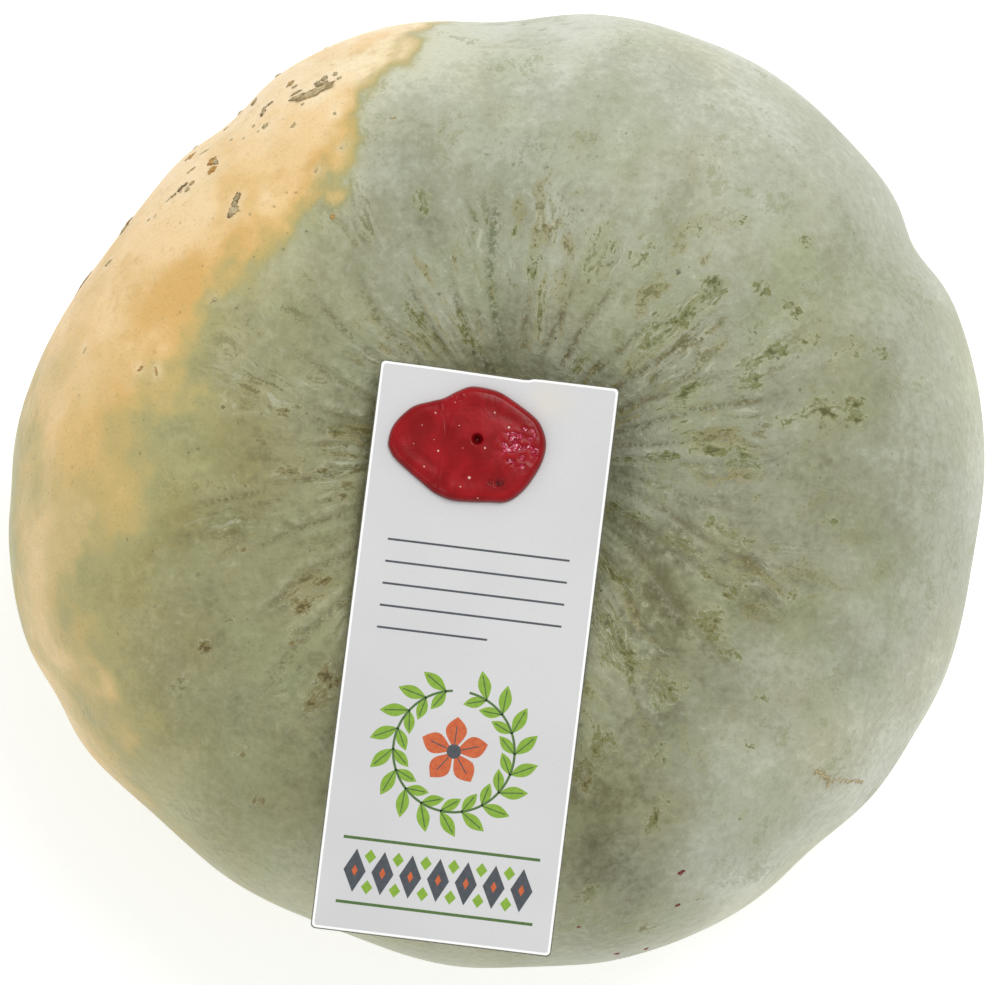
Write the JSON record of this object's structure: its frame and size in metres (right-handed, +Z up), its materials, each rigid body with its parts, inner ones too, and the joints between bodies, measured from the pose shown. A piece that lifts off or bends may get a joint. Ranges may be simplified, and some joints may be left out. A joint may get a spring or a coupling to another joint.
{
  "type": "winter squash with sealed card",
  "caption": "Flat-round pale green winter squash that stands on its blossom end, with a plain card held on its cut stem by red sealing wax.",
  "frame": {"origin": "on the surface that the squash stands on, under the middle of its bounding box", "axes": "+Z up through the stem, +Y towards the top of the picture, so the card reaches out towards -Y"},
  "size_m": [0.211, 0.2066, 0.1233],
  "materials": {
    "rind": "satin waxy rind, grey green with a pale orange shoulder",
    "stem": "dry, corky",
    "card": "satin coated",
    "wax": "glossy"
  },
  "bodies": {
    "root": {"fruit": "rind", "stem": "stem", "card": "card", "wax_seal": "wax"}
  },
  "joints": []
}
